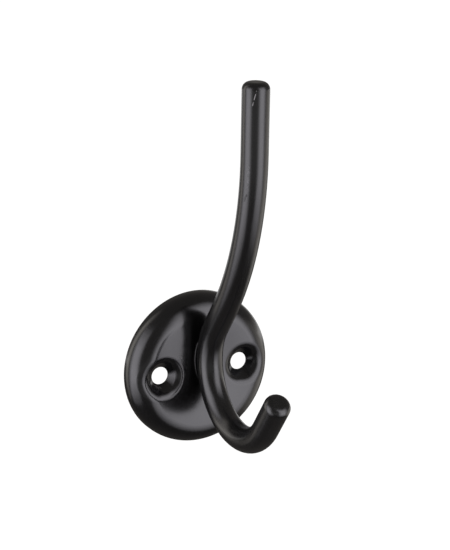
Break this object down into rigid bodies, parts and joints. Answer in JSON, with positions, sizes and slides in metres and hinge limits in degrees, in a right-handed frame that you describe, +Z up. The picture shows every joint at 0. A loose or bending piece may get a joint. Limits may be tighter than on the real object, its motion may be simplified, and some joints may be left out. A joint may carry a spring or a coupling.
{
  "type": "single wall hook",
  "caption": "Bent round-bar coat hook with a tall upper prong and a short lower prong, welded to a round pressed back plate with two countersunk screw holes.",
  "frame": {"origin": "centre of the back plate, on the wall plane that its skirt rests against", "axes": "+Z up along the wall towards the tall prong, +Y into the wall, so the hook stands out towards -Y, and +X to the right of someone who faces the hook"},
  "size_m": [0.05, 0.0566, 0.1223],
  "materials": {
    "black_paint": "satin"
  },
  "bodies": {
    "root": {"back_plate": "black_paint", "hook_rod": "black_paint", "weld": "black_paint"}
  },
  "joints": []
}
